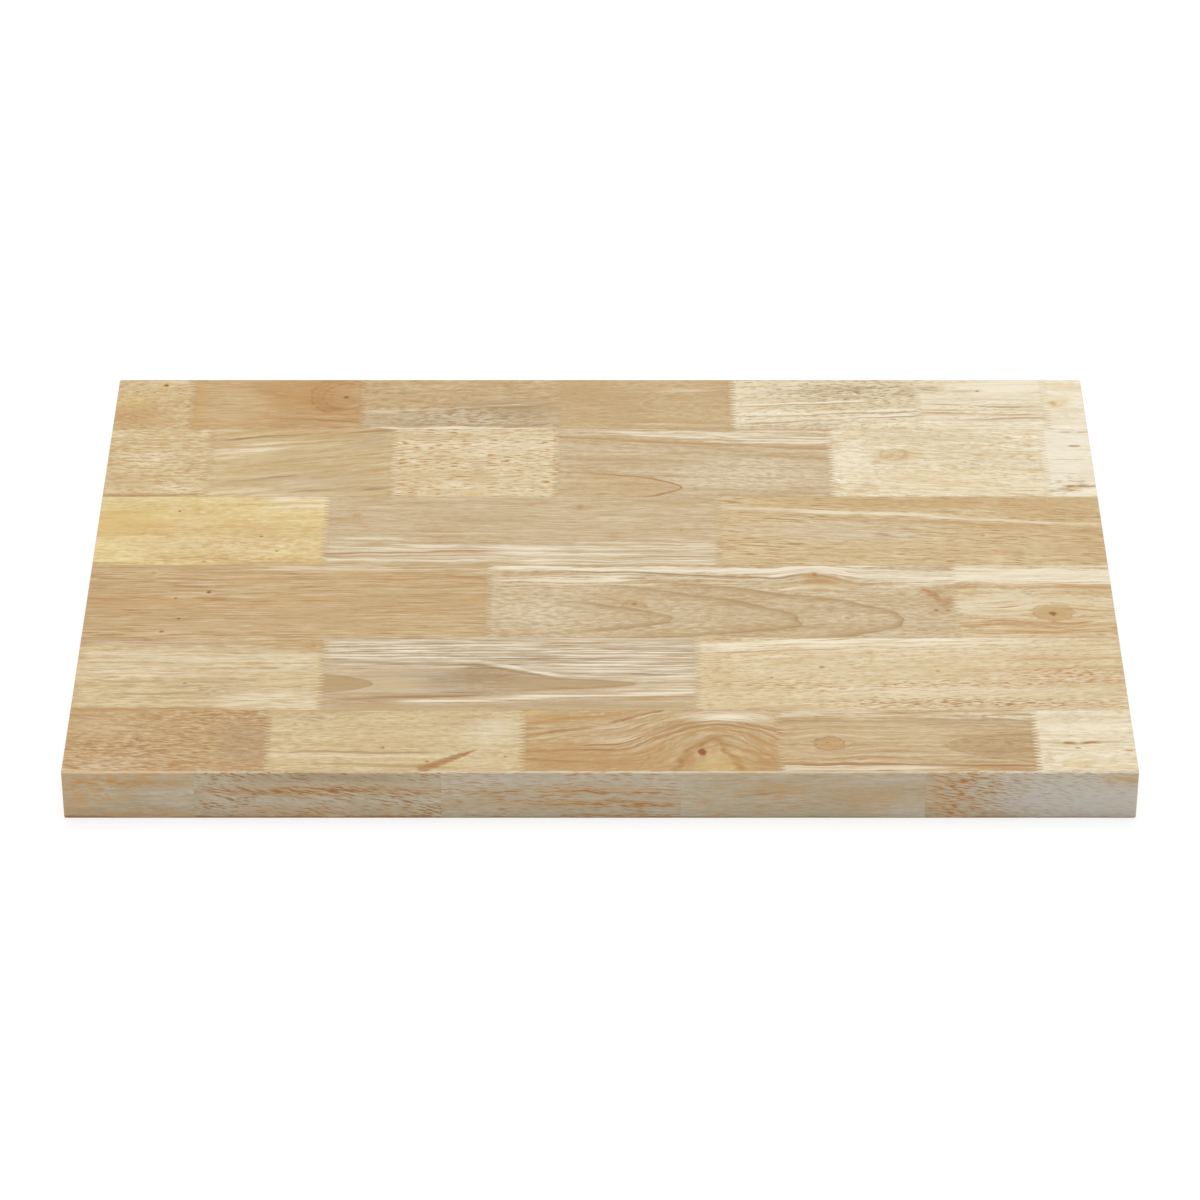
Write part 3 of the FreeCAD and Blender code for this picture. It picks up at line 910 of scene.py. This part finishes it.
        Patch("sapwood", 0.5, 870, 575, 120, 100),
        Band("umber", 0.6, 830, 925, 591, 3, broken=0.4),
        Band("bark", 0.9, 856, 868, 590.5, 3, ragged=0.3, broken=0.0),
        Band("bark", 0.9, 872, 886, 590.5, 3, ragged=0.3, broken=0.0),
        Band("bark", 0.8, 862, 870, 597, 2, ragged=0.0, broken=0.0),
        Band("bark", 0.8, 906, 914, 602, 2, ragged=0.0, broken=0.0),
        Flecks("umber", 0.4, 870, 556, 100, 16),
        Flecks("gold", 0.4, 865, 622, 26, 14, broken=0.8),
    )),
    "front_strip_block_1": Wood("sand", streaks=0.2, wisps=0.4, vessels=0.6, vessel_tone="amber",
                                clouds=0.9, marks=(
        Flecks("amber", 0.8, 50, 6, 160, 26, broken=0.8),
        Flecks("amber", 0.7, 30, 24, 70, 30, gaps=0.44),
        Vessels("ochre", 0.5, 40, 12, 120, 16, gaps=0.47),
        Flecks("amber", 0.4, 6, 30, 50, 60, broken=0.5),
        Wisps("amber", 0.75, 70, 43, 130, 10, broken=0.7),
        Patch("pearl", 0.25, 85, 28, 60, 22),
        # Painted shade: a dark line along the bottom edge, where the strip meets the floor
        Band("rust", 0.8, -20, 135, 46.6, 1.6, ragged=0.2, broken=0.3),
    )),
    "front_strip_block_2": Wood("sand", slope=0.2, streaks=0.2, wisps=0.3, dashes=0.25, vessels=0.9,
                                vessel_tone="rust", vessel_width=1.2, marks=(
        Wisps("umber", 0.6, 217, 4, 230, 16, broken=0.5),
        Patch("amber", 0.6, 217, 18, 240, 14, broken=0.6),
        Vessels("rust", 0.9, 217, 19, 240, 12),
        Patch("pearl", 0.2, 190, 32, 150, 20),
        Wisps("amber", 0.5, 217, 42, 230, 18, broken=0.8),
        Patch("umber", 0.12, 217, 24, 280, 90),
        # Painted shade: a dark line along the bottom edge, where the strip meets the floor
        Band("rust", 0.8, 95, 340, 46.6, 1.6, ragged=0.2, broken=0.3),
    )),
    "front_strip_block_3": Wood("sand", slope=0.05, streaks=0.2, wisps=0.3, vessels=0.7,
                                vessel_tone="ochre", vessel_length=12, vessel_width=1.2, marks=(
        Patch("umber", 0.12, 420, 24, 260, 70),
        Patch("pearl", 0.3, 380, 6, 140, 16),
        Wisps("amber", 0.6, 430, 18, 200, 12, broken=0.9),
        Wisps("amber", 0.6, 420, 32, 220, 12, broken=0.9),
        Band("ochre", 1.0, 335, 540, 19, 3, slope=0.01, broken=1.0, by="vessels"),
        Band("ochre", 1.0, 315, 430, 28, 3, slope=0.01, broken=1.0, by="vessels"),
        Band("ochre", 1.0, 400, 530, 31, 3, slope=0.02, broken=1.0, by="vessels"),
        Vessels("ochre", 0.8, 480, 45, 130, 5, broken=0.8),
        # Painted shade: a dark line along the bottom edge, where the strip meets the floor
        Band("rust", 0.8, 300, 545, 46.6, 1.6, ragged=0.2, broken=0.3),
    )),
    "front_strip_block_4": Wood("sand", streaks=0.2, wisps=0.4, vessels=0.6, vessel_tone="amber",
                                vessel_length=16, vessel_width=1.4, clouds=0.8, marks=(
        Patch("umber", 0.32, 625, 26, 260, 90),
        Wisps("amber", 0.5, 610, 16, 70, 24),
        Wisps("amber", 0.6, 690, 24, 90, 30),
        Vessels("ochre", 0.6, 600, 21, 60, 5),
        Patch("pearl", 0.3, 700, 8, 70, 12),
        Patch("pearl", 0.5, 722, 40, 30, 30),
        # Painted shade: a dark line along the bottom edge, where the strip meets the floor
        Band("umber", 0.7, 515, 745, 46.6, 1.6, ragged=0.2, broken=0.4),
    )),
    "front_strip_block_5": Wood("sand", slope=0.15, streaks=0.2, wisps=0.3, vessels=0.8, vessel_width=1.2,
                                marks=(
        Patch("pearl", 0.9, 862, 30, 200, 70, broken=0.1),
        Flecks("amber", 0.5, 750, 26, 70, 80),
        Vessels("ochre", 0.9, 768, 24, 100, 90, gaps=0.48),
        Vessels("rust", 0.6, 775, 20, 70, 60, gaps=0.54),
        Vessels("umber", 0.35, 835, 24, 110, 60, gaps=0.5),
        Wisps("amber", 0.7, 905, 6, 50, 14, broken=0.9),
        # Painted shade: a dark line along the bottom edge, where the strip meets the floor
        Band("umber", 0.7, 725, 930, 46.6, 1.6, ragged=0.2, broken=0.4),
    )),
}


def millimetres(name, description, default, least):
    """A setting in millimetres."""
    return FloatProperty(name=name, description=f"{description}, mm", default=default, min=least)


def share(name, description, default):
    """A setting from 0 to 1."""
    return FloatProperty(name=name, description=description, default=default, min=0.0, max=1.0,
                         subtype="FACTOR")


class GrainSettings(bpy.types.PropertyGroup):
    """Sizes of what the eye sees in sawn rubberwood."""
    streak_length: millimetres("Streak length", "Length of the long tone streaks", 120.0, 10.0)
    streak_width: millimetres("Streak width", "Width of the long tone streaks", 4.2, 0.5)
    wisp_length: millimetres("Wisp length", "Length of the wisps between the streaks", 42.0, 5.0)
    wisp_width: millimetres("Wisp width", "Width of the wisps", 2.4, 0.5)
    dash_length: millimetres("Dash length", "Length of the short dashes", 9.0, 2.0)
    dash_width: millimetres("Dash width", "Width of the short dashes", 2.5, 0.5)
    relief: millimetres("Relief", "Depth of the sawn-open vessels in the surface", 0.08, 0.0)
    pore_spacing: millimetres("Pore spacing", "Distance between the pores in end grain", 1.6, 0.2)
    ring_width: millimetres("Ring width", "Width of the growth rings in end grain", 5.0, 0.5)
    wander: millimetres("Wander", "How far the grain of a block with a curl of 1 wanders", 7.0, 0.0)
    lean: FloatProperty(
        name="Lean", description="How far the growth layers step sideways per mm of depth",
        default=0.6)
    roughness: share("Roughness", "Roughness of the sanded and oiled surface", 0.55)
    sheen_level: share("Gloss", "Specular level of the thin oil film", 0.25)


class JointSettings(bpy.types.PropertyGroup):
    """The glue lines of the finger joints, which follow the cut of the blocks."""
    finger_pitch: millimetres("Finger pitch", "Distance between neighbouring finger tips", 4.45, 1.0)
    finger_length: millimetres("Finger length", "Length of a finger", 8.0, 1.0)
    glue_width: millimetres("Glue line width", "Half the width of the glue line", 0.35, 0.01)
    glue_strength: share("Glue line strength", "How much the glue line darkens the wood", 0.4)
    strip_glue_strength: share(
        "Strip glue line strength", "How much the glue line darkens the front strip", 0.12)
    seam_strength: share(
        "Seam strength", "How much the glue line between two staves darkens the wood", 0.35)
    glue_colour: FloatVectorProperty(
        name="Glue colour", description="Colour of the dried glue line", subtype="COLOR",
        size=4, default=linear_colour("#8f6d45"), min=0.0, max=1.0)


class StudioSettings(bpy.types.PropertyGroup):
    """The floor, the light and the camera."""
    floor_size: FloatProperty(
        name="Floor size", description="Side of the square floor", default=30.0, unit="LENGTH")
    floor_rise: FloatProperty(
        name="Floor rise", description="How far the floor comes up the lower arris, so that the "
        "underside isn't level with it and shows from below", default=0.0003, precision=5,
        unit="LENGTH")
    key_strength: FloatProperty(
        name="Key light", description="Strength of the soft light from above", default=1.6, min=0.0)
    fill_strength: FloatProperty(
        name="Fill light", description="Strength of the even light from all round", default=0.5,
        min=0.0)
    camera_distance: FloatProperty(
        name="Camera distance", description="Distance over the floor from the middle of the top",
        default=3.7543, unit="LENGTH")
    camera_height: FloatProperty(
        name="Camera height", description="Height of the camera over the floor", default=2.5588,
        unit="LENGTH")
    camera_pitch: FloatProperty(
        name="Camera pitch", description="Angle by which the camera looks down",
        default=math.radians(34.178), subtype="ANGLE")
    camera_lens: FloatProperty(
        name="Camera lens", description="Focal length on a 36 mm wide picture, mm", default=150.54)


@dataclass
class Place:
    """Sockets of where a point of a block lies, in plan mm. The front strip has its plan upright."""
    x: bpy.types.NodeSocket
    y: bpy.types.NodeSocket
    depth: bpy.types.NodeSocket
    from_back: bpy.types.NodeSocket


def plan_place(tree, node_name):
    """Where a point of a block lies, worked out from its object coordinates."""
    corner = (-TOP_LOW.x * MM_PER_M, TOP_HIGH.y * MM_PER_M, TOP_HIGH.z * MM_PER_M)
    place = add(tree, "TexCoord", output="Object")
    plan = add(tree, "Mapping", (place, corner, (0, 0, 0), (MM_PER_M, -MM_PER_M, -MM_PER_M)))
    parts = add(tree, "SeparateXYZ", (plan,)).node.outputs
    if node_name.startswith(FRONT_STRIP):
        front_edge = (TOP_HIGH.y - TOP_LOW.y) * MM_PER_M
        depth = add(tree, "Math", (front_edge, parts[1]), operation="SUBTRACT")
        return Place(parts[0], parts[2], depth, parts[1])
    return Place(parts[0], parts[1], parts[2], parts[1])


def grain_of(tree, place, seed, wood, settings):
    """The grain of a block, and the place along and across it that its noises are read at."""
    level = add(tree, "Math", (place.depth, settings.lean, place.y), operation="MULTIPLY_ADD")
    offset = [seed * move for move in SEED_MOVES]

    # Every line in the wood wanders a little, the marks' outlines too
    coarse = add(tree, "CombineXYZ", (place.x, level, place.depth))
    coarse = add(tree, "VectorMath", (coarse, offset), operation="ADD")
    scale = (1 / WANDER_LENGTH, 1 / WANDER_WIDTH, 1 / WANDER_WIDTH)
    coarse = add(tree, "VectorMath", (coarse, scale), operation="MULTIPLY")
    drift = add(tree, "TexNoise", {"Vector": coarse, "Scale": 1.0, "Detail": WANDER_DETAIL}, "Color")
    reach = settings.wander * wood.curl
    drift = add(tree, "VectorMath", (drift, (0.5, 0.5, 0.5)), operation="SUBTRACT")
    drift = add(tree, "VectorMath", (drift, (WANDER_STRETCH * reach, reach, 0.0)), operation="MULTIPLY")
    drift = add(tree, "SeparateXYZ", (drift,)).node.outputs
    wavy_x = add(tree, "Math", (place.x, drift[0]), operation="ADD")
    wavy_y = add(tree, "Math", (level, drift[1]), operation="ADD")

    grain = Grain(place.x, level, wavy_x, wavy_y, wavy_y)
    for mark in wood.marks:
        if hasattr(mark, "bend"):
            grain.bent_y = mark.bend(tree, grain, grain.bent_y)
    across = add(tree, "Math", (place.x, -wood.slope, grain.bent_y), operation="MULTIPLY_ADD")
    along = add(tree, "CombineXYZ", (place.x, across, place.depth))
    along = add(tree, "VectorMath", (along, offset), operation="ADD")
    return grain, along


def rubberwood(node_name, wood, settings, joints):
    """Rubberwood, planed, sanded and oiled.

    The eye gets pale straw wood with soft streaks, short brown vessel lines and a satin skin.
    """
    material = bpy.data.materials.new(f"Oiled rubberwood {node_name}")
    material.use_nodes = True
    tree = material.node_tree
    shader = tree.nodes["Principled BSDF"]
    place = plan_place(tree, node_name)
    seed = SEED_STEP * list(WOODS).index(node_name)
    grain, along = grain_of(tree, place, seed, wood, settings)

    # Each layer is noise drawn out along the grain, to this length and width in mm
    layers = {
        "streaks": (settings.streak_length, settings.streak_width),
        "wisps": (settings.wisp_length, settings.wisp_width),
        "dashes": (settings.dash_length, settings.dash_width),
        "clouds": (CLOUD_LENGTH, CLOUD_WIDTH),
        "vessels": (wood.vessel_length, wood.vessel_width),
    }
    ground = 0.5
    for name, (length, width) in layers.items():
        width /= wood.fineness
        drawn = add(tree, "VectorMath", (along, (1 / length, 1 / width, 1 / width)), operation="MULTIPLY")
        noise = add(tree, "TexNoise", {"Vector": drawn, "Scale": 1.0, "Detail": LAYER_DETAIL[name]})
        grain.noises[name] = noise
        if name == "dashes":
            levels = (DARK_LEVEL, LIGHT_LEVEL, -0.5, 0.5)
            centred = add(tree, "MapRange", (noise, *levels), **SMOOTH)
        else:
            centred = add(tree, "Math", (noise, 0.5), operation="SUBTRACT")
        strength = LAYER_CONTRAST[name] * getattr(wood, name)
        if strength:
            ground = add(tree, "Math", (centred, strength, ground), operation="MULTIPLY_ADD")

    base = linear_colour(TONES[wood.tone])
    dark = [part * ratio for part, ratio in zip(base, DARK_SHARES)]
    light = [2 * part - low for part, low in zip(base, dark)]
    colour = add(tree, "Mix", {0: ground, 6: (*dark, 1.0), 7: (*light, 1.0)}, 2, **COLOUR)

    # Vessels show as short dark lines in loose groups, with lines of soft tissue between them
    grouped = add(tree, "Math", (grain.noises["clouds"], 0.5), operation="SUBTRACT")
    grouping = (grouped, VESSEL_GROUPING, grain.noises["vessels"])
    grouped = add(tree, "Math", grouping, operation="MULTIPLY_ADD")
    vessel = (grouped, *VESSEL_LEVELS, 0.0, wood.vessels)
    tissue = (grain.noises["vessels"], *TISSUE_LEVELS, TISSUE_SHARE * wood.vessels, 0.0)
    marks = [
        (add(tree, "MapRange", vessel, **SMOOTH), wood.vessel_tone),
        (add(tree, "MapRange", tissue, **SMOOTH), "sapwood"),
    ]
    for mark in wood.marks:
        marks += mark.layers(tree, grain)
    for mask, tone in marks:
        colour = add(tree, "Mix", {0: mask, 6: colour, 7: linear_colour(MARK_TONES[tone])}, 2, **COLOUR)

    colour = end_grain(tree, node_name, place, colour, dark, settings)
    glue = glue_mask(tree, node_name, place, joints)
    colour = add(tree, "Mix", {0: glue, 6: colour, 7: tuple(joints.glue_colour)}, 2, **COLOUR)

    hollow = {"Height": grain.noises["vessels"], "Distance": settings.relief / MM_PER_M}
    tree.links.new(add(tree, "Bump", hollow), shader.inputs["Normal"])
    tree.links.new(colour, shader.inputs["Base Color"])
    shader.inputs["Roughness"].default_value = settings.roughness
    shader.inputs["Specular IOR Level"].default_value = settings.sheen_level
    return material


def end_grain(tree, node_name, place, colour, dark, settings):
    """The colour of a block with the rings and pores that show on the ends of the top."""
    low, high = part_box(node_name)
    if low.x > TOP_LOW.x + 1 / MM_PER_M and high.x < TOP_HIGH.x - 1 / MM_PER_M:
        return colour
    pith = (low.y * MM_PER_M, PITH_DEPTH * TOP_HIGH.z * MM_PER_M, 0.0)
    section = add(tree, "CombineXYZ", (place.y, place.depth))
    outwards = add(tree, "VectorMath", (section, pith), "Value", operation="DISTANCE")
    ring = add(tree, "Math", (outwards, settings.ring_width), operation="DIVIDE")
    noise = {"W": ring, "Scale": 1.0, "Detail": RING_DETAIL}
    ring = add(tree, "TexNoise", noise, noise_dimensions="1D")
    ring = add(tree, "MapRange", (ring, DARK_LEVEL, LIGHT_LEVEL), **SMOOTH)
    pores = {"Vector": section, "Scale": 1 / settings.pore_spacing}
    pores = add(tree, "TexVoronoi", pores, voronoi_dimensions="2D")
    pores = add(tree, "MapRange", (pores, PORE_WHOLE, PORE_GONE, PORE_STRENGTH, 0.0), **SMOOTH)
    bands = add(tree, "Mix", {0: ring, 6: (*dark, 1.0), 7: colour}, 2, **COLOUR)
    bands = add(tree, "Mix", {0: pores, 6: bands, 7: linear_colour(MARK_TONES["brown"])}, 2, **COLOUR)
    normal = add(tree, "NewGeometry", output="Normal")
    facing = add(tree, "SeparateXYZ", (normal,))
    facing = add(tree, "Math", (facing,), operation="ABSOLUTE")
    facing = add(tree, "MapRange", (facing, FACING_NONE, FACING_WHOLE), **SMOOTH)
    return add(tree, "Mix", {0: facing, 6: colour, 7: bands}, 2, **COLOUR)


def glue_mask(tree, node_name, place, joints):
    """Where the glue lines show, at a block's finger-jointed ends and along its sides."""
    low, high = (corner * MM_PER_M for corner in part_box(node_name))
    left_end, right_end = TOP_LOW.x * MM_PER_M, TOP_HIGH.x * MM_PER_M
    back_side = TOP_HIGH.y * MM_PER_M - high.y
    across = add(tree, "Math", (place.from_back, back_side), operation="SUBTRACT")
    turns = add(tree, "Math", (across, joints.finger_pitch), operation="DIVIDE")
    zigzag = add(tree, "Math", (turns, 0.5), operation="PINGPONG")
    rise = 2 * joints.finger_length
    reach = add(tree, "Math", (zigzag, rise, -joints.finger_length / 2), operation="MULTIPLY_ADD")
    ends = []
    if low.x > left_end + joints.finger_length:
        ends.append(low.x - left_end + joints.finger_length / 2)
    if high.x < right_end - joints.finger_length:
        ends.append(high.x - left_end - joints.finger_length / 2)
    sides = []
    if not node_name.startswith((STAVES[0], FRONT_STRIP)):
        sides.append(0.0)
    if not node_name.startswith((STAVES[-1], FRONT_STRIP)):
        sides.append(high.y - low.y)

    # A flank is steep, so that its glue line is wider along the top than it is thick
    flank = math.hypot(joints.finger_length, joints.finger_pitch / 2)
    stretch = flank / (joints.finger_pitch / 2)
    strength = joints.glue_strength
    if node_name.startswith(FRONT_STRIP):
        stretch = 1.0
        strength = joints.strip_glue_strength
    mask = 0.0
    for side in sides:
        offset = add(tree, "Math", (across, side), operation="SUBTRACT")
        near = line_mask(tree, offset, 0.0, 2 * joints.glue_width, joints.seam_strength)
        mask = add(tree, "Math", (mask, near), operation="MAXIMUM")
    for end in ends:
        offset = add(tree, "Math", (place.x, reach), operation="SUBTRACT")
        offset = add(tree, "Math", (offset, end), operation="SUBTRACT")
        near = line_mask(tree, offset, 0.0, joints.glue_width * stretch, strength)
        mask = add(tree, "Math", (mask, near), operation="MAXIMUM")
    return mask


class COUNTERTOP_OT_finish_row(bpy.types.Operator):
    """Give every block of one row its own oiled rubberwood"""
    bl_idname = "countertop.finish_row"
    bl_label = "Finish a row of blocks"

    row: StringProperty(name="Row", description="Name of the row", default="stave_1")

    def execute(self, context):
        names = sorted(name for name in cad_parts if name.startswith(f"{self.row}_block_"))
        if not names:
            raise RuntimeError(f"the frame has no row {self.row}")
        scene = context.scene
        for name in names:
            material = rubberwood(name, WOODS[name], scene.countertop_grain, scene.countertop_joints)
            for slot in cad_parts[name].material_slots:
                slot.material = material
        return {"FINISHED"}


class COUNTERTOP_OT_build_studio(bpy.types.Operator):
    """Lay the pale floor, light it softly from above and all round, and place the camera"""
    bl_idname = "countertop.build_studio"
    bl_label = "Build the studio"

    def execute(self, context):
        settings = context.scene.countertop_studio
        bpy.ops.object.select_all(action="DESELECT")
        floor_place = (0, 0, settings.floor_rise)
        bpy.ops.mesh.primitive_plane_add(size=settings.floor_size, location=floor_place)
        floor = context.object
        floor.name = "studio_floor"
        floor.data.materials.append(white_board())

        context.scene.world = studio_world(settings)
        bpy.ops.object.light_add(type="SUN", location=KEY_PLACE, rotation=(KEY_TILT, 0, 0))
        key = context.object
        key.name = "studio_key"
        key.data.energy = settings.key_strength
        key.data.angle = KEY_SPREAD

        place = (0, -settings.camera_distance, settings.camera_height)
        bpy.ops.object.camera_add(location=place, rotation=(math.pi / 2 - settings.camera_pitch, 0, 0))
        camera = context.object
        camera.name = "studio_camera"
        camera.data.sensor_width = PICTURE_WIDTH
        camera.data.lens = settings.camera_lens
        context.scene.camera = camera
        context.scene.view_settings.view_transform = "Standard"
        return {"FINISHED"}


def seen_directly(tree):
    """1 for rays from the camera, a reflection or through glass, which see the pale studio."""
    path = add(tree, "LightPath").node.outputs
    seen = add(tree, "Math", (path["Is Camera Ray"], path["Is Glossy Ray"]), operation="MAXIMUM")
    return add(tree, "Math", (seen, path["Is Transmission Ray"]), operation="MAXIMUM")


def white_board():
    """Matt white board: it looks white and keeps the object's soft shadow."""
    material = bpy.data.materials.new("Matt white studio board")
    material.use_nodes = True
    tree = material.node_tree
    tree.nodes.clear()
    matt = add(tree, "BsdfDiffuse", {"Color": (BOARD_SHADE, BOARD_SHADE, BOARD_SHADE, 1.0)})
    shaded = add(tree, "BsdfDiffuse", {"Color": (SEEN_SHADE, SEEN_SHADE, SEEN_SHADE, 1.0)})
    glow = add(tree, "Emission", {"Color": WHITE, "Strength": BOARD_GLOW})
    white = add(tree, "AddShader", (glow, shaded))
    mixed = add(tree, "MixShader", (seen_directly(tree), matt, white))
    output = tree.nodes.new("ShaderNodeOutputMaterial")
    tree.links.new(mixed, output.inputs["Surface"])
    return material


def studio_world(settings):
    """Even light from all round, which looks white."""
    world = bpy.data.worlds.new("Studio light")
    world.use_nodes = True
    tree = world.node_tree
    tree.nodes.clear()
    strength = add(tree, "MapRange", (seen_directly(tree), 0.0, 1.0, settings.fill_strength, 1.0))
    light = add(tree, "Background", {"Color": WHITE, "Strength": strength})
    output = tree.nodes.new("ShaderNodeOutputWorld")
    tree.links.new(light, output.inputs["Surface"])
    return world


class COUNTERTOP_PT_panel(bpy.types.Panel):
    """Lists the countertop's operators and their settings"""
    bl_idname = "COUNTERTOP_PT_panel"
    bl_label = "Countertop"
    bl_space_type = "VIEW_3D"
    bl_region_type = "UI"
    bl_category = "Countertop"

    def draw(self, context):
        layout = self.layout
        scene = context.scene
        for row in (*STAVES, FRONT_STRIP):
            layout.operator(COUNTERTOP_OT_finish_row.bl_idname, text=f"Finish {row}").row = row
        layout.operator(COUNTERTOP_OT_build_studio.bl_idname)
        for settings in (scene.countertop_grain, scene.countertop_joints, scene.countertop_studio):
            for name in settings.__annotations__:
                layout.prop(settings, name)


CLASSES = (
    GrainSettings,
    JointSettings,
    StudioSettings,
    COUNTERTOP_OT_finish_row,
    COUNTERTOP_OT_build_studio,
    COUNTERTOP_PT_panel,
)


def register():
    for cls in CLASSES:
        bpy.utils.register_class(cls)
    bpy.types.Scene.countertop_grain = PointerProperty(type=GrainSettings)
    bpy.types.Scene.countertop_joints = PointerProperty(type=JointSettings)
    bpy.types.Scene.countertop_studio = PointerProperty(type=StudioSettings)


def unregister():
    del bpy.types.Scene.countertop_studio
    del bpy.types.Scene.countertop_joints
    del bpy.types.Scene.countertop_grain
    for cls in reversed(CLASSES):
        bpy.utils.unregister_class(cls)


def main():
    register()
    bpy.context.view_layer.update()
    for row in (*STAVES, FRONT_STRIP):
        bpy.ops.countertop.finish_row(row=row)
    bpy.ops.countertop.build_studio()


if __name__ == "__main__":
    main()
